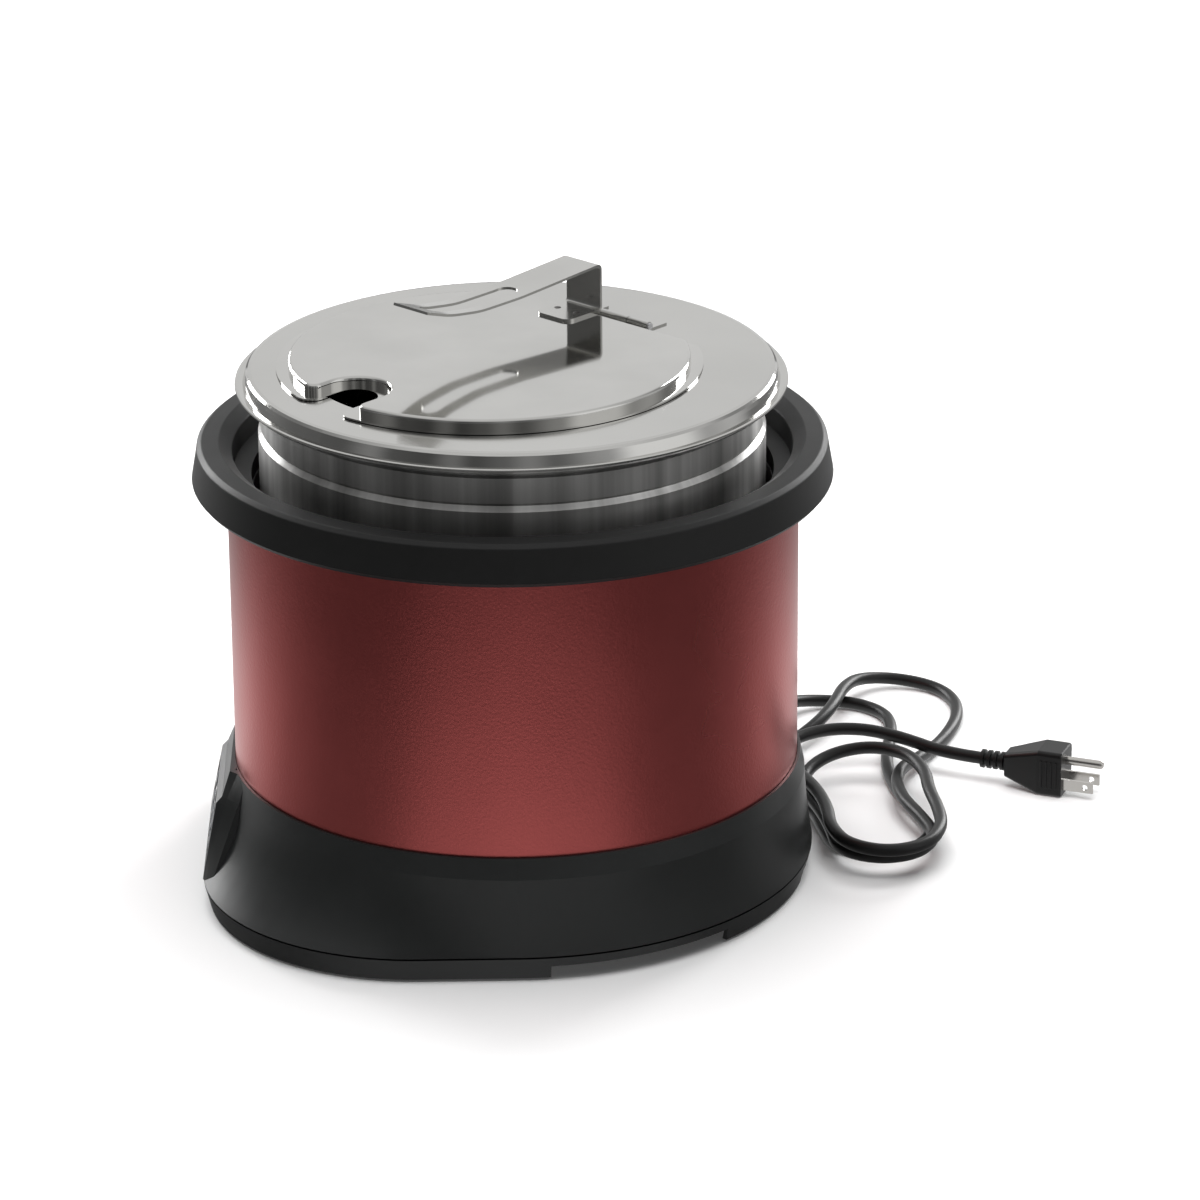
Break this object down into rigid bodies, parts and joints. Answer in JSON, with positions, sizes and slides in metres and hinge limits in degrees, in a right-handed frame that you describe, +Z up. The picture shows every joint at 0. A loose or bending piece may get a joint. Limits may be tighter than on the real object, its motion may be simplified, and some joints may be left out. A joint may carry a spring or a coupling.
{
  "type": "rethermalizer",
  "caption": "Countertop rethermalizer: round heated well with a lift-out vessel, hinged lid with ladle notch, front keys and a mains cord.",
  "frame": {"origin": "on the table under the axis of the round body", "axes": "+Z up, the control panel faces -Y, +X is the side that the picture shows"},
  "size_m": [0.4063, 0.4923, 0.3204],
  "materials": {
    "base_plastic": "black moulded plastic, soft satin gloss",
    "ring_plastic": "black moulded plastic, matt",
    "jacket_paint": "red textured enamel, satin",
    "steel": "brushed and polished stainless steel",
    "rubber": "black rubber",
    "overlay": "glossy black overlay",
    "display": "dark display window",
    "key": "grey keys",
    "ceramic": "dark ceramic plate",
    "well": "plain aluminium",
    "fibre": "ceramic fibre",
    "copper": "enamelled copper winding",
    "ferrite": "grey ferrite",
    "board": "green circuit board",
    "parts": "board parts",
    "alloy": "finned aluminium",
    "fan_plastic": "black fan plastic",
    "screw": "zinc plated screws",
    "cord": "black flexible cord",
    "blade": "plated brass blades"
  },
  "bodies": {
    "housing": {"bottom_pan": "base_plastic", "feet": "rubber", "pan_screws": "screw", "base_shell": "base_plastic", "strain_relief": "cord", "jacket": "jacket_paint", "top_ring": "ring_plastic", "well_wall": "well", "well_floor": "ceramic", "temperature_sensor": "well", "insulation_sleeve": "fibre", "coil_former": "fan_plastic", "induction_coil": "copper", "ferrite_bars": "ferrite", "power_board": "board", "board_screws": "screw", "heatsink": "alloy", "board_parts": "parts", "fan_frame": "fan_plastic", "control_bezel": "ring_plastic", "control_overlay": "overlay", "display_window": "display", "control_board": "board", "power_cord": "cord", "plug_body": "cord", "plug_blades": "blade"},
    "vessel": {"vessel": "steel"},
    "lid": {"lid_plate": "steel", "lid_knuckles": "steel", "hinge_pin": "screw"},
    "flap": {"flap_plate": "steel", "flap_knuckle": "steel", "handle": "steel"},
    "fan": {"fan_rotor": "fan_plastic"},
    "power_key": {"power_key": "key"},
    "down_key": {"down_key": "key"},
    "up_key": {"up_key": "key"},
    "preset_key_1": {"preset_key_1": "key"},
    "preset_key_2": {"preset_key_2": "key"},
    "preset_key_3": {"preset_key_3": "key"},
    "preset_key_4": {"preset_key_4": "key"}
  },
  "joints": [
    {"name": "vessel_lift", "type": "slide", "parent": "housing", "child": "vessel", "axis": [0, 0, 1], "range_m": [0, 0.19]},
    {"name": "lid_lift", "type": "slide", "parent": "vessel", "child": "lid", "axis": [0, 0, 1], "range_m": [0, 0.05]},
    {"name": "flap_hinge", "type": "hinge", "parent": "lid", "child": "flap", "pos_m": [-0.06924, 0.05296, 0.285], "axis": [-0.6947, -0.7193, 0], "range_deg": [0, 97]},
    {"name": "fan_spin", "type": "hinge", "parent": "housing", "child": "fan", "pos_m": [0.066, 0.022, 0.024], "axis": [0, 0, 1], "continuous": true},
    {"name": "power_key_press", "type": "slide", "parent": "housing", "child": "power_key", "axis": [0, 0.9806, -0.1961], "range_m": [0, 0.001], "stiffness_N_per_m": 400},
    {"name": "down_key_press", "type": "slide", "parent": "housing", "child": "down_key", "axis": [0, 0.9806, -0.1961], "range_m": [0, 0.001], "stiffness_N_per_m": 400},
    {"name": "up_key_press", "type": "slide", "parent": "housing", "child": "up_key", "axis": [0, 0.9806, -0.1961], "range_m": [0, 0.001], "stiffness_N_per_m": 400},
    {"name": "preset_key_1_press", "type": "slide", "parent": "housing", "child": "preset_key_1", "axis": [0, 0.9806, -0.1961], "range_m": [0, 0.001], "stiffness_N_per_m": 400},
    {"name": "preset_key_2_press", "type": "slide", "parent": "housing", "child": "preset_key_2", "axis": [0, 0.9806, -0.1961], "range_m": [0, 0.001], "stiffness_N_per_m": 400},
    {"name": "preset_key_3_press", "type": "slide", "parent": "housing", "child": "preset_key_3", "axis": [0, 0.9806, -0.1961], "range_m": [0, 0.001], "stiffness_N_per_m": 400},
    {"name": "preset_key_4_press", "type": "slide", "parent": "housing", "child": "preset_key_4", "axis": [0, 0.9806, -0.1961], "range_m": [0, 0.001], "stiffness_N_per_m": 400}
  ]
}
